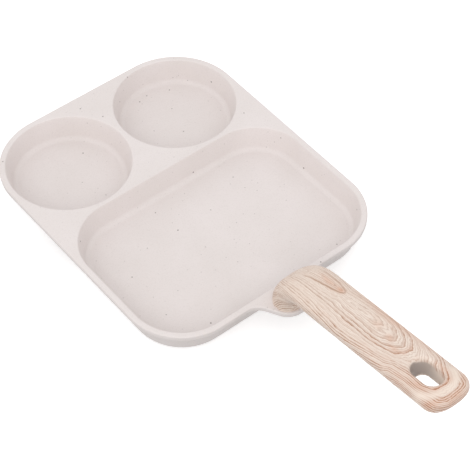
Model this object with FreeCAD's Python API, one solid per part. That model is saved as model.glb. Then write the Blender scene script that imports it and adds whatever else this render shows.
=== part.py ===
import FreeCAD, Part
import math
import os
from FreeCAD import Vector

# A divided frying pan: a cast pan with two round cups and one wide well, and a moulded handle.
# Millimetres. The pan stands on z = 0 with the middle of its rim over the origin.
# The cups lie towards +Y, the handle reaches out towards -Y.

# Rim and flange of the casting
PAN_WIDTH = 191.2
PAN_LENGTH = 230.0
RIM_HEIGHT = 22.4
FLANGE_THICKNESS = 4.0
RIM_MARGIN = 4.3
NEAR_CORNER_RADIUS = 42.5
RIM_TOP_ROUNDING = 1.1
RIM_LOWER_ROUNDING = 0.7

# Cups and well
CUP_MOUTH_RADIUS = 44.6
CUP_TO_WELL_BRIDGE = 3.1
WELL_FAR_CORNER_RADIUS = 38.0
WALL_DRAFT = 14.5
WALL_THICKNESS = 2.8
FLOOR_THICKNESS = 4.2
FLOOR_FILLET = 4.5
BASE_FILLET = 6.5
MOUTH_ROUNDING = 1.2

# Lug that carries the handle
LUG_REACH = 22.0
LUG_ROOT_WIDTH = 51.0
LUG_FRONT_WIDTH = 26.6
LUG_NECK_RADIUS = 12.0
LUG_CORNER_RADIUS = 15.0
LUG_BOSS_LENGTH = 16.0
LUG_BOSS_WIDTH = 11.0
LUG_BOSS_CORNER_RADIUS = 2.8
LUG_BOSS_HEIGHT = 3.0

# Handle: foot, bend and grip
HANDLE_SETBACK = 9.9
FOOT_THICKNESS = 21.0
FOOT_WIDTH = 32.8
FOOT_ROUNDNESS = 2.5
BEND_OUTER_RADIUS = 31.2
BEND_INNER_RADIUS = 14.0
GRIP_ANGLE = 7.7
GRIP_THICKNESS = 14.4
GRIP_WIDTH = 34.6
GRIP_TOP_ROUNDNESS = 3.0
GRIP_UNDER_ROUNDNESS = 2.3
GRIP_CROWN_SHARE = 0.45
HANDLE_REACH = 157.5
TIP_CORNER_RADIUS = 12.6
TIP_TOP_RADIUS = 4.2
TIP_UNDER_RADIUS = 9.8
BEND_SECTIONS = 9
GRIP_SECTIONS = 12
TIP_SECTIONS = 8
SECTION_POINTS = 28

# Hanging slot near the tip
SLOT_LENGTH = 22.5
SLOT_WIDTH = 13.3
SLOT_FROM_TIP = 25.9
SLOT_DRAFT = 6.0
SLOT_TOP_ROUNDING = 2.8
SLOT_UNDER_ROUNDING = 0.6

# Hidden fastening of the handle
SCREW_DIAMETER = 5.0
SCREW_LENGTH = 14.0
SCREW_HEAD_DIAMETER = 9.0
SCREW_HEAD_HEIGHT = 3.4
SCREW_HEAD_ROUNDING = 1.2
SCREW_TIP_CHAMFER = 0.6
RECESS_SPAN = 5.0
RECESS_WIDTH = 1.1
RECESS_DEPTH = 1.8
SCREW_HOLE_CLEARANCE = 0.3
WASHER_OUTER_DIAMETER = 8.8
WASHER_THICKNESS = 1.2
WASHER_GAP = 1.0
WASHER_SPLIT_ANGLE = 25.0
INSERT_DIAMETER = 8.0
INSERT_LENGTH = 10.0
INSERT_FIT = 0.05
THREAD_FIT = 0.05
SOCKET_CLEARANCE = 0.3

# Limits for telling lengths and heights apart
SHORTEST_RUN = 1e-6
LEVEL_TOLERANCE = 1e-3

# Places that several pieces share
HALF_WIDTH = PAN_WIDTH / 2
HALF_LENGTH = PAN_LENGTH / 2
CUP_X = HALF_WIDTH - RIM_MARGIN - CUP_MOUTH_RADIUS
CUP_Y = HALF_LENGTH - RIM_MARGIN - CUP_MOUTH_RADIUS
WELL_FAR_Y = CUP_Y - CUP_MOUTH_RADIUS - CUP_TO_WELL_BRIDGE
WELL_NEAR_Y = -HALF_LENGTH + RIM_MARGIN
FLANGE_UNDERSIDE = RIM_HEIGHT - FLANGE_THICKNESS
DRAFT_SLOPE = math.tan(math.radians(WALL_DRAFT))
FOOT_Y = -HALF_LENGTH - HANDLE_SETBACK
SOCKET_ROOF = RIM_HEIGHT + LUG_BOSS_HEIGHT + SOCKET_CLEARANCE
WASHER_UNDERSIDE = FLANGE_UNDERSIDE - WASHER_THICKNESS
UP = Vector(0, 0, 1)
GRIP_OUTWARD = Vector(0, -math.cos(math.radians(GRIP_ANGLE)), math.sin(math.radians(GRIP_ANGLE)))
GRIP_NORMAL = Vector(0, math.sin(math.radians(GRIP_ANGLE)), math.cos(math.radians(GRIP_ANGLE)))


def unit(vector):
    """The vector at length one."""
    return vector * (1.0 / vector.Length)


def rounded_wire(corners, height):
    """A closed wire of straight runs joined by tangent arcs, at one height.

    Each corner is x, y and the radius that rounds it.
    """
    count = len(corners)
    points = [Vector(x, y, height) for x, y, radius in corners]
    runs = []
    for index in range(count):
        corner = points[index]
        radius = corners[index][2]
        back = unit(points[index - 1] - corner)
        ahead = unit(points[(index + 1) % count] - corner)
        half_angle = back.getAngle(ahead) / 2
        reach = radius / math.tan(half_angle)
        middle_reach = radius / math.sin(half_angle) - radius
        start = corner + back * reach
        middle = corner + unit(back + ahead) * middle_reach
        end = corner + ahead * reach
        runs.append((start, middle, end))
    edges = []
    for index, (start, middle, end) in enumerate(runs):
        edges.append(Part.Arc(start, middle, end).toShape())
        following = runs[(index + 1) % count][0]
        if (following - end).Length > SHORTEST_RUN:
            edges.append(Part.LineSegment(end, following).toShape())
    return Part.Wire(edges)


def edges_at(solid, height):
    """The edges that lie wholly at one height."""
    found = []
    for edge in solid.Edges:
        box = edge.BoundBox
        off_level = max(abs(box.ZMin - height), abs(box.ZMax - height))
        if off_level < LEVEL_TOLERANCE:
            found.append(edge)
    return found


def drafted_cup(inset, top, bottom, rounding):
    """The space of a round cup from its mouth down, as a cone with a rounded floor edge.

    The inset is measured inwards from the wall of the cup at the height of the rim.
    """
    upper = CUP_MOUTH_RADIUS - inset - (RIM_HEIGHT - top) * DRAFT_SLOPE
    lower = CUP_MOUTH_RADIUS - inset - (RIM_HEIGHT - bottom) * DRAFT_SLOPE
    cone = Part.makeCone(lower, upper, top - bottom, Vector(0, CUP_Y, bottom), UP)
    return cone.makeFillet(rounding, edges_at(cone, bottom))


def well_wire(inset, height):
    """The outline of the wide well at one height, drawn in by an inset and the draft."""
    shrink = inset + (RIM_HEIGHT - height) * DRAFT_SLOPE
    side = HALF_WIDTH - RIM_MARGIN - shrink
    far = WELL_FAR_Y - shrink
    near = WELL_NEAR_Y + shrink
    far_radius = WELL_FAR_CORNER_RADIUS - shrink
    near_radius = NEAR_CORNER_RADIUS - RIM_MARGIN - shrink
    corners = [
        (side, far, far_radius),
        (-side, far, far_radius),
        (-side, near, near_radius),
        (side, near, near_radius),
    ]
    return rounded_wire(corners, height)


def drafted_well(inset, top, bottom, rounding):
    """The space of the wide well as a drafted block with a rounded floor edge."""
    block = Part.makeLoft([well_wire(inset, bottom), well_wire(inset, top)], True, True)
    return block.makeFillet(rounding, edges_at(block, bottom))


def flange_plate():
    """The flat plate of the rim, the deck between the wells, and the handle lug."""
    far_radius = CUP_MOUTH_RADIUS + RIM_MARGIN
    corners = [
        (HALF_WIDTH, HALF_LENGTH, far_radius),
        (-HALF_WIDTH, HALF_LENGTH, far_radius),
        (-HALF_WIDTH, -HALF_LENGTH, NEAR_CORNER_RADIUS),
        (-LUG_ROOT_WIDTH / 2, -HALF_LENGTH, LUG_NECK_RADIUS),
        (-LUG_FRONT_WIDTH / 2, -HALF_LENGTH - LUG_REACH, LUG_CORNER_RADIUS),
        (LUG_FRONT_WIDTH / 2, -HALF_LENGTH - LUG_REACH, LUG_CORNER_RADIUS),
        (LUG_ROOT_WIDTH / 2, -HALF_LENGTH, LUG_NECK_RADIUS),
        (HALF_WIDTH, -HALF_LENGTH, NEAR_CORNER_RADIUS),
    ]
    outline = Part.Face(rounded_wire(corners, FLANGE_UNDERSIDE))
    plate = outline.extrude(UP * FLANGE_THICKNESS)
    plate = plate.makeFillet(RIM_TOP_ROUNDING, edges_at(plate, RIM_HEIGHT))
    return plate.makeFillet(RIM_LOWER_ROUNDING, edges_at(plate, FLANGE_UNDERSIDE))


def lug_boss(growth):
    """The raised oblong key on the lug, grown all round by a clearance."""
    half_x = LUG_BOSS_LENGTH / 2 + growth
    half_y = LUG_BOSS_WIDTH / 2 + growth
    radius = LUG_BOSS_CORNER_RADIUS + growth
    corners = [
        (half_x, FOOT_Y + half_y, radius),
        (-half_x, FOOT_Y + half_y, radius),
        (-half_x, FOOT_Y - half_y, radius),
        (half_x, FOOT_Y - half_y, radius),
    ]
    face = Part.Face(rounded_wire(corners, RIM_HEIGHT))
    return face.extrude(UP * (LUG_BOSS_HEIGHT + growth))


def foot_cylinder(diameter, bottom, height):
    """A round bar on the screw's axis in the foot of the handle."""
    return Part.makeCylinder(diameter / 2, height, Vector(0, FOOT_Y, bottom), UP)


def make_pan_body():
    """The casting: plate, drafted pots below it, and the spaces cut from above."""
    floor = FLOOR_THICKNESS
    pots = []
    spaces = []
    for side in (-1, 1):
        pot = drafted_cup(-WALL_THICKNESS, FLANGE_UNDERSIDE, 0, BASE_FILLET)
        space = drafted_cup(0, RIM_HEIGHT, floor, FLOOR_FILLET)
        pots.append(pot.translated(Vector(side * CUP_X, 0, 0)))
        spaces.append(space.translated(Vector(side * CUP_X, 0, 0)))
    pots.append(drafted_well(-WALL_THICKNESS, FLANGE_UNDERSIDE, 0, BASE_FILLET))
    spaces.append(drafted_well(0, RIM_HEIGHT, floor, FLOOR_FILLET))

    body = flange_plate().multiFuse(pots + [lug_boss(0)])
    body = body.cut(Part.makeCompound(spaces))
    mouths = edges_in_mouths(body)
    body = body.makeFillet(MOUTH_ROUNDING, mouths)
    hole = SCREW_DIAMETER + SCREW_HOLE_CLEARANCE
    hole_length = FLANGE_THICKNESS + LUG_BOSS_HEIGHT
    return body.cut(foot_cylinder(hole, FLANGE_UNDERSIDE, hole_length))


def edges_in_mouths(body):
    """The edges where the walls of the cups and the well meet the top of the plate."""
    inner_near = -HALF_LENGTH + RIM_MARGIN / 2
    inner_side = HALF_WIDTH - RIM_MARGIN / 2
    found = []
    for edge in edges_at(body, RIM_HEIGHT):
        box = edge.BoundBox
        inside = box.YMin > inner_near and box.XMax < inner_side and box.XMin > -inner_side
        if inside and box.YMax < HALF_LENGTH - RIM_MARGIN / 2:
            found.append(edge)
    return found


def handle_section(lower, upper, half_width, blend):
    """A closed section between an underside point and a top point of the handle.

    Above and below the widest line the outline is |x/a|^n + |v/b|^n = 1, with a the half
    width, b the height of that half and n its roundness: 2 is an ellipse, more is squarer.
    The blend goes from 0 in the foot's section to 1 in the grip's.
    """
    crown = 0.5 + (GRIP_CROWN_SHARE - 0.5) * blend
    widest = upper + (lower - upper) * crown
    points = []
    for index in range(SECTION_POINTS):
        angle = 2 * math.pi * index / SECTION_POINTS
        across = math.cos(angle)
        along = math.sin(angle)
        rise = upper - widest if along > 0 else widest - lower
        grip_roundness = GRIP_TOP_ROUNDNESS if along > 0 else GRIP_UNDER_ROUNDNESS
        roundness = FOOT_ROUNDNESS + (grip_roundness - FOOT_ROUNDNESS) * blend
        scale = (abs(across) ** roundness + abs(along) ** roundness) ** (-1 / roundness)
        offset = Vector(half_width * scale * across, 0, 0) + rise * (scale * along)
        points.append(widest + offset)
    even_steps = [float(index) for index in range(SECTION_POINTS + 1)]
    curve = Part.BSplineCurve()
    curve.interpolate(Points=points, PeriodicFlag=True, Parameters=even_steps)
    return Part.Wire(curve.toShape())


def bend_curves():
    """The top and underside curves of the bend in the plane x = 0, from the foot up.

    The top curve is an arc that leaves the back of the foot upright, then a straight
    run. The underside curve rises upright from the front of the foot, then turns on a
    smaller arc. Both end at the section where the grip begins.
    """
    turn = math.radians(90 - GRIP_ANGLE)
    back_y = FOOT_Y + FOOT_THICKNESS / 2
    front_y = FOOT_Y - FOOT_THICKNESS / 2
    outer_centre = Vector(0, back_y - BEND_OUTER_RADIUS, RIM_HEIGHT)
    inner_centre = Vector(0, front_y - BEND_INNER_RADIUS, RIM_HEIGHT)
    top_line_start = outer_centre + GRIP_NORMAL * BEND_OUTER_RADIUS
    # the inner arc is lifted until the underside lies one grip thickness below the top
    gap = (top_line_start - inner_centre).dot(GRIP_NORMAL)
    lift = (gap - GRIP_THICKNESS - BEND_INNER_RADIUS) / math.cos(math.radians(GRIP_ANGLE))
    inner_centre.z += lift
    under_end = inner_centre + GRIP_NORMAL * BEND_INNER_RADIUS
    top_end = under_end + GRIP_NORMAL * GRIP_THICKNESS

    def on_arc(centre, radius, angle):
        return centre + Vector(0, math.cos(angle), math.sin(angle)) * radius

    top = Part.Wire([
        Part.Arc(
            on_arc(outer_centre, BEND_OUTER_RADIUS, 0),
            on_arc(outer_centre, BEND_OUTER_RADIUS, turn / 2),
            top_line_start,
        ).toShape(),
        Part.LineSegment(top_line_start, top_end).toShape(),
    ])
    under = Part.Wire([
        Part.LineSegment(
            Vector(0, front_y, RIM_HEIGHT),
            on_arc(inner_centre, BEND_INNER_RADIUS, 0),
        ).toShape(),
        Part.Arc(
            on_arc(inner_centre, BEND_INNER_RADIUS, 0),
            on_arc(inner_centre, BEND_INNER_RADIUS, turn / 2),
            under_end,
        ).toShape(),
    ])
    return top, under, top_end, under_end


def bend_sections(top, under):
    """Sections evenly spaced along the bend, turning from the foot's to the grip's."""
    uppers = top.discretize(Number=BEND_SECTIONS + 1)
    lowers = under.discretize(Number=BEND_SECTIONS + 1)
    sections = []
    for index in range(BEND_SECTIONS + 1):
        share = index / BEND_SECTIONS
        width = FOOT_WIDTH + (GRIP_WIDTH - FOOT_WIDTH) * share
        sections.append(handle_section(lowers[index], uppers[index], width / 2, share))
    return sections


def straight_sections(top_end, under_end, length):
    """Sections of the straight grip, after the bend and before the tip is rounded."""
    sections = []
    for index in range(1, GRIP_SECTIONS + 1):
        step = GRIP_OUTWARD * (length * index / GRIP_SECTIONS)
        sections.append(handle_section(under_end + step, top_end + step, GRIP_WIDTH / 2, 1))
    return sections


def edge_drop(advance, radius):
    """How far a rounded edge of the tip has fallen, at an advance into its corners."""
    past_edge = max(0, advance - (TIP_CORNER_RADIUS - radius))
    share = min(1, past_edge / radius)
    return radius * (1 - math.sqrt(1 - share ** 2))


def tip_sections(top_end, under_end, length):
    """Sections that close the tip: corners rounded in plan, edges rounded in height."""
    sections = []
    for index in range(1, TIP_SECTIONS + 1):
        angle = math.pi / 2 * index / TIP_SECTIONS
        advance = TIP_CORNER_RADIUS * math.sin(angle)
        half_width = GRIP_WIDTH / 2 - TIP_CORNER_RADIUS * (1 - math.cos(angle))
        step = GRIP_OUTWARD * (length + advance)
        lower = under_end + step + GRIP_NORMAL * edge_drop(advance, TIP_UNDER_RADIUS)
        upper = top_end + step - GRIP_NORMAL * edge_drop(advance, TIP_TOP_RADIUS)
        sections.append(handle_section(lower, upper, half_width, 1))
    return sections


def slot_outline(height):
    """The slot's round-ended outline at one height over the middle of the grip.

    The draft makes it wider towards the top.
    """
    growth = height * math.tan(math.radians(SLOT_DRAFT))
    half_length = SLOT_LENGTH / 2 + growth
    half_width = SLOT_WIDTH / 2 + growth
    corners = [
        (half_width, half_length, half_width),
        (-half_width, half_length, half_width),
        (-half_width, -half_length, half_width),
        (half_width, -half_length, half_width),
    ]
    return rounded_wire(corners, height)


def slot_cutter(centre):
    """The hanging slot, square to the grip and reaching past it above and below."""
    outlines = [slot_outline(-GRIP_THICKNESS), slot_outline(GRIP_THICKNESS)]
    cutter = Part.makeLoft(outlines, True, True)
    cutter.rotate(Vector(0, 0, 0), Vector(1, 0, 0), -GRIP_ANGLE)
    cutter.translate(centre)
    return cutter


def slot_rim(handle, centre, side):
    """The edges where the slot leaves the grip: at its top for side 1, below for side -1."""
    found = []
    for edge in handle.Edges:
        offset = edge.CenterOfMass - centre
        across = abs(offset.x) < SLOT_WIDTH
        along = abs(offset.dot(GRIP_OUTWARD)) < SLOT_LENGTH
        # an upright edge of the slot has its middle at half the grip's thickness
        off_middle = side * offset.dot(GRIP_NORMAL) > GRIP_THICKNESS / 4
        if across and along and off_middle:
            found.append(edge)
    return found


def make_handle():
    """The moulded handle: one smooth loft from the foot to the tip, with slot and socket."""
    top, under, top_end, under_end = bend_curves()
    rise = math.cos(math.radians(GRIP_ANGLE))
    middle_y = (top_end.y + under_end.y) / 2
    grip_length = (middle_y + HALF_LENGTH + HANDLE_REACH) / rise
    straight = grip_length - TIP_CORNER_RADIUS
    sections = bend_sections(top, under)
    sections += straight_sections(top_end, under_end, straight)
    sections += tip_sections(top_end, under_end, straight)
    handle = Part.makeLoft(sections, True, False)
    slot_centre = (top_end + under_end) * 0.5 + GRIP_OUTWARD * (grip_length - SLOT_FROM_TIP)
    handle = handle.cut(slot_cutter(slot_centre))
    handle = handle.makeFillet(SLOT_TOP_ROUNDING, slot_rim(handle, slot_centre, 1))
    handle = handle.makeFillet(SLOT_UNDER_ROUNDING, slot_rim(handle, slot_centre, -1))
    bore = foot_cylinder(INSERT_DIAMETER + 2 * INSERT_FIT, SOCKET_ROOF, INSERT_LENGTH)
    return handle.cut(lug_boss(SOCKET_CLEARANCE).fuse(bore))


def make_handle_insert():
    """The threaded sleeve that the foot of the handle is moulded round."""
    sleeve = foot_cylinder(INSERT_DIAMETER, SOCKET_ROOF, INSERT_LENGTH)
    thread = foot_cylinder(SCREW_DIAMETER + 2 * THREAD_FIT, SOCKET_ROOF, INSERT_LENGTH)
    return sleeve.cut(thread)


def make_spring_washer():
    """A ring with one slanted split, between the head of the screw and the lug."""
    ring = foot_cylinder(WASHER_OUTER_DIAMETER, WASHER_UNDERSIDE, WASHER_THICKNESS)
    hole = foot_cylinder(SCREW_DIAMETER + SCREW_HOLE_CLEARANCE, WASHER_UNDERSIDE, WASHER_THICKNESS)
    # the slanted cut is taller than the ring, so that it goes right through
    cut_height = 4 * WASHER_THICKNESS
    split = Part.makeBox(
        WASHER_OUTER_DIAMETER,
        WASHER_GAP,
        cut_height,
        Vector(0, -WASHER_GAP / 2, -cut_height / 2),
    )
    split.rotate(Vector(0, 0, 0), Vector(1, 0, 0), WASHER_SPLIT_ANGLE)
    split.translate(Vector(0, FOOT_Y, WASHER_UNDERSIDE + WASHER_THICKNESS / 2))
    return ring.cut(hole).cut(split)


def make_handle_screw():
    """A pan-head screw from below, with a cross recess in its head."""
    head_bottom = WASHER_UNDERSIDE - SCREW_HEAD_HEIGHT
    head = foot_cylinder(SCREW_HEAD_DIAMETER, head_bottom, SCREW_HEAD_HEIGHT)
    head = head.makeFillet(SCREW_HEAD_ROUNDING, edges_at(head, head_bottom))
    shank = foot_cylinder(SCREW_DIAMETER, WASHER_UNDERSIDE, SCREW_LENGTH)
    screw = head.fuse(shank)
    tip = WASHER_UNDERSIDE + SCREW_LENGTH
    screw = screw.makeChamfer(SCREW_TIP_CHAMFER, edges_at(screw, tip))
    for span, width in ((RECESS_SPAN, RECESS_WIDTH), (RECESS_WIDTH, RECESS_SPAN)):
        corner = Vector(-span / 2, FOOT_Y - width / 2, head_bottom)
        screw = screw.cut(Part.makeBox(span, width, RECESS_DEPTH, corner))
    return screw


def main():
    """Write one file for each piece."""
    pieces = {
        "pan_body": make_pan_body(),
        "handle": make_handle(),
        "handle_insert": make_handle_insert(),
        "spring_washer": make_spring_washer(),
        "handle_screw": make_handle_screw(),
    }
    os.makedirs("parts", exist_ok=True)
    for name, shape in pieces.items():
        solid = shape.Solids[0]
        print(name, "solids", len(shape.Solids), "valid", solid.isValid(), "volume", round(solid.Volume))
        solid.exportStep("parts/" + name + ".step")


main()
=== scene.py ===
import math

import bpy
import numpy as np
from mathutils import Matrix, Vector
from mathutils.geometry import delaunay_2d_cdt


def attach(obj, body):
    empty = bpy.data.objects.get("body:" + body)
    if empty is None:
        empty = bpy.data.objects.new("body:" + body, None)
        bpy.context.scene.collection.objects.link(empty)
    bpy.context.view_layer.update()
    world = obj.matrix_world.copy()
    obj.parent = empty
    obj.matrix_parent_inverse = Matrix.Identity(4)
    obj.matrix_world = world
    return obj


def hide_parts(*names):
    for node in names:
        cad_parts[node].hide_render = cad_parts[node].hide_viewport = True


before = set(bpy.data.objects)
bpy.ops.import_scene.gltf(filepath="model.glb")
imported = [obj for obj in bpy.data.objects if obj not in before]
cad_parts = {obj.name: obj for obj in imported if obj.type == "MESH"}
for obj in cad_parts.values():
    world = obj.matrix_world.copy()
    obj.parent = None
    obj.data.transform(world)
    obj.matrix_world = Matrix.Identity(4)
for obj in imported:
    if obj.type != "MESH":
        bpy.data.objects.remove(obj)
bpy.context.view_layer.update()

# A divided frying pan with two round cups, one wide well and a wood-look handle.
# Shapes are worked out in millimetres and scaled to metres when they become meshes.
METRES = 0.001
SAME_PLACE_DECIMALS = 5

# Casting
PAN_HALF_WIDTH = 95.6
PAN_HALF_LENGTH = 115.0
RIM_HEIGHT = 22.4
FLANGE_UNDERSIDE = 18.4
RIM_MARGIN = 4.3
NEAR_CORNER_RADIUS = 42.5
RIM_TOP_ROUNDING = 1.1
RIM_LOWER_ROUNDING = 0.7
CUP_MOUTH_RADIUS = 44.6
CUP_X = 46.7
CUP_Y = 66.1
WELL_FAR_Y = 18.4
WELL_NEAR_Y = -110.7
WELL_FAR_CORNER_RADIUS = 38.0
WALL_DRAFT = math.radians(14.5)
WALL_THICKNESS = 2.8
FLOOR_HEIGHT = 4.2
FLOOR_FILLET = 4.5
BASE_FILLET = 6.5
MOUTH_ROUNDING = 1.2
# Under the rim the cups' pots end on one side of this line and the well's pot on the other
POT_DIVIDE_Y = 19.95
POT_DIVIDE_GAP = 0.03

# Lug, its raised key and the screw hole
LUG_REACH = 22.0
LUG_ROOT_HALF_WIDTH = 25.5
LUG_FRONT_HALF_WIDTH = 13.3
LUG_NECK_RADIUS = 12.0
LUG_CORNER_RADIUS = 15.0
KEY_HALF_LENGTH = 8.0
KEY_HALF_WIDTH = 5.5
KEY_CORNER_RADIUS = 2.8
KEY_HEIGHT = 3.0
SCREW_HOLE_RADIUS = 2.65

# Handle
FOOT_Y = -124.9
FOOT_THICKNESS = 21.0
FOOT_HALF_WIDTH = 16.4
FOOT_ROUNDNESS = 2.5
BEND_OUTER_RADIUS = 31.2
BEND_INNER_RADIUS = 14.0
GRIP_ANGLE = math.radians(7.7)
GRIP_THICKNESS = 14.4
GRIP_HALF_WIDTH = 17.3
GRIP_TOP_ROUNDNESS = 3.0
GRIP_UNDER_ROUNDNESS = 2.3
GRIP_CROWN_SHARE = 0.45
HANDLE_REACH = 157.48  # 0.02 mm short of the solids, so that the skin stays inside their box
TIP_CORNER_RADIUS = 12.6
TIP_TOP_RADIUS = 4.2
TIP_UNDER_RADIUS = 9.8
SLOT_HALF_LENGTH = 11.25
SLOT_HALF_WIDTH = 6.65
SLOT_FROM_TIP = 25.9
SLOT_DRAFT = math.radians(6.0)
SLOT_TOP_ROUNDING = 2.8
SLOT_UNDER_ROUNDING = 0.6
SOCKET_CLEARANCE = 0.3
SOCKET_ROOF = 25.7
BORE_RADIUS = 4.05
BORE_ROOF = 35.7

# Steps of the surfaces: along rounded corners in mm, round circles, and the points on
# each rounding of a profile. Straight runs have steps that are longer by the ratio.
OUTLINE_STEP = 1.2
WELL_STEP = 1.0
KEY_STEP = 0.5
FEWEST_CORNER_STEPS = 6
STRAIGHT_STEP_RATIO = 4
CUP_STEPS = 256
HOLE_STEPS = 48
MOUTH_POINTS = 8
FLOOR_POINTS = 12
BASE_POINTS = 14
RIM_TOP_POINTS = 8
RIM_LOWER_POINTS = 7

# Rows and columns of the handle's skin, and the opening in it that the slot's rings fill:
# how far it begins before the slot and ends past the straight sides, and its half width
QUARTER_COLUMNS = 36
COLUMN_SPACING = 1.4
BEND_ROWS = 71
ROWS_BEFORE_SLOT = 116
ROWS_BESIDE_SLOT = 39
TIP_ROWS = 34
OPENING_BEFORE = 4.6
OPENING_BEYOND = 1.2
OPENING_HALF_WIDTH = 11.4
SLOT_LEDGE_ROWS = 5
SLOT_EDGE_ROWS = 10
SLOT_WALL_ROWS = 10

# Printed wood. Its places are in mm on the skin: along the handle from the sole of its
# foot, and across from the middle line to the right as seen from the tip.
# The flame near the bend: its point, its greatest half width, how its middle line leaves
# the point (per mm squared), in how many mm it widens and over how many it pushes rings
# aside, the width of its own rings, and how much the rings' jags move its rim
FLAME_POINT = 66.7
FLAME_ACROSS = 7.6
FLAME_HALF_WIDTH = 6.0
FLAME_DRIFT = 0.0028
FLAME_TAPER = 20.0
FLAME_PUSH = 9.0
FLAME_RING_WIDTH = 1.25
FLAME_JAG = 1.6
# The heart of the growth rings: a place along, the heart's place across, its depth in
# rings, the width of a ring to its right and to its left, and the exponent of the arches,
# which are round at 2 and squarer above it
HEART_LINE = np.array([
    (0, 4.5, 0.05, 2.8, 2.6, 2),
    (30, 4.5, 0.05, 2.6, 2.2, 2),
    (60, 4.5, 0.05, 2.4, 2.6, 2),
    (85, 4.6, 0.1, 4.0, 3.4, 2),
    (98, 4.8, 0.4, 5.4, 3.6, 2.2),
    (106, 5.0, 1.0, 5.2, 3.6, 2.4),
    (117.5, 4.0, 2.0, 3.8, 3.1, 2.6),
    (126, 2.5, 3.0, 3.3, 2.5, 2.6),
    (132, 1.5, 4.0, 2.9, 1.8, 2.6),
    (140, 0.5, 5.2, 3.0, 1.6, 2.4),
    (145, -0.2, 5.6, 3.4, 1.5, 2.1),
    (150, -0.8, 5.6, 2.4, 1.5, 2),
    (155, -1.2, 5.6, 1.8, 1.5, 2),
    (166, -1.5, 9.0, 1.7, 1.5, 2.2),
    (171, -1.5, 10.0, 1.6, 1.5, 2.6),
    (173, -1.5, 11.0, 1.6, 1.5, 2.6),
    (190, -1.5, 22.0, 1.6, 1.5, 2.6),
])
# Chooses which rings are printed strongly and which faintly
RING_SEED = 32182.0
# How far rings wander and how jagged they are, the number and strength of finer lines in
# each, the fibres' strength, and rings per mm down the grip's sides, against 1 at the foot
RING_WANDER = 1.3
RING_JAG = 0.5
FINE_LINES = 3.0
FINE_STRENGTH = 0.5
FIBRE_STRENGTH = 0.4
SIDE_RINGS = 0.55
# Where rings gather, left of a line on the grip and below one on the foot: the line,
# more rings per mm, and the mm in which they set in
LEFT_LINE, LEFT_RINGS, LEFT_SOFTNESS = -7.0, 0.22, 2.0
FOOT_LINE, FOOT_RINGS, FOOT_SOFTNESS = 34.0, 0.33, 8.0
# Bands round the slot's far end: the place of its middle, the share that distances to the
# left count for, and each band's distance and half width
SLOT_END = 155.5
SLOT_LEFT_SHARE = 0.84
PALE_BAND = (13.6, 2.3)
DARK_BAND = (17.6, 1.6)
PINK_BANDS = ((9.3, 1.7), (18.4, 1.8))
# Soft patches of the print, with weaker lines or pinkish; the row at 104 along is painted
# shade that darkens the grip's far edge: along, across, half length, half width, strength
WORN_PATCHES = ((76, 6, 9, 5, 0.35), (138, 1, 4, 6, 0.4))
BLUSHES_AND_EDGE_SHADE = (
    (63, 7.4, 3, 1.7, 1),
    (53, 7, 8, 3.2, 0.5),
    (102, 4.5, 4, 4, 0.3),
    (114.5, 2.2, 3.2, 2.2, 0.6),
    (124, -2.6, 4, 2, 0.6),
    (129.5, 3, 2.2, 5, 0.35),
    (150, -12.5, 16, 3, 0.2),
    (165, -7, 2.5, 3, 0.3),
    # painted shade: a darker, pinker far edge of the grip, which turns from the light
    (104, 14.5, 32, 3.2, 0.55),
    (165, 5, 2, 5, 0.35),
    (176, 0, 1.6, 12, 0.35),
)

# Flecks of the coating: cell size and fleck radius in mm, share of cells, strength
FLECKS = ((8.0, 0.66, 0.5, 0.95), (5.0, 0.47, 0.7, 0.4), (2.6, 0.36, 0.8, 0.15))

# Camera, fitted to the photograph: place in metres, lens in mm. The fit counts pixels by
# their middles, so the view is moved by half of one.
CAMERA_TURN = math.radians(38.78)
CAMERA_RISE = math.radians(-49.38)
CAMERA_PLACE = (-0.46763, -0.64431, 0.89607)
CAMERA_LENS = 130.55
HALF_PIXEL = 0.5 / 470
# Sky: its brightness below the horizon, in the middle, and how much it falls to the right
SKY_BELOW = 0.44
SKY_LEVEL = 0.97
SKY_FALL = 0.07
# Soft box: where it looks, its width and distance in metres, and its power
KEY_TURN = math.radians(45)
KEY_RISE = math.radians(-40)
KEY_SIZE = 1.2
KEY_DISTANCE = 2.2
KEY_POWER = 8.5
PAN_MIDDLE = Vector((0.0, -0.05, 0.02))
# Half the floor's width in metres
FLOOR_REACH = 30.0

ACROSS, FORWARD, UP = np.eye(3)
GRIP_OUTWARD = np.array([0.0, -math.cos(GRIP_ANGLE), math.sin(GRIP_ANGLE)])
GRIP_NORMAL = np.array([0.0, math.sin(GRIP_ANGLE), math.cos(GRIP_ANGLE)])


def heading(turn, rise):
    """The direction +Y, turned to the right and then raised."""
    return Vector((math.sin(turn) * math.cos(rise), math.cos(turn) * math.cos(rise), math.sin(rise)))


def added(name, data):
    """A new object in the scene."""
    thing = bpy.data.objects.new(name, data)
    bpy.context.scene.collection.objects.link(thing)
    return thing


def aimed(name, data, place, ahead):
    """A camera or a light at a place, looking ahead."""
    thing = added(name, data)
    thing.location = place
    thing.rotation_mode = "QUATERNION"
    thing.rotation_quaternion = ahead.to_track_quat("-Z", "Y")
    return thing


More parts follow.
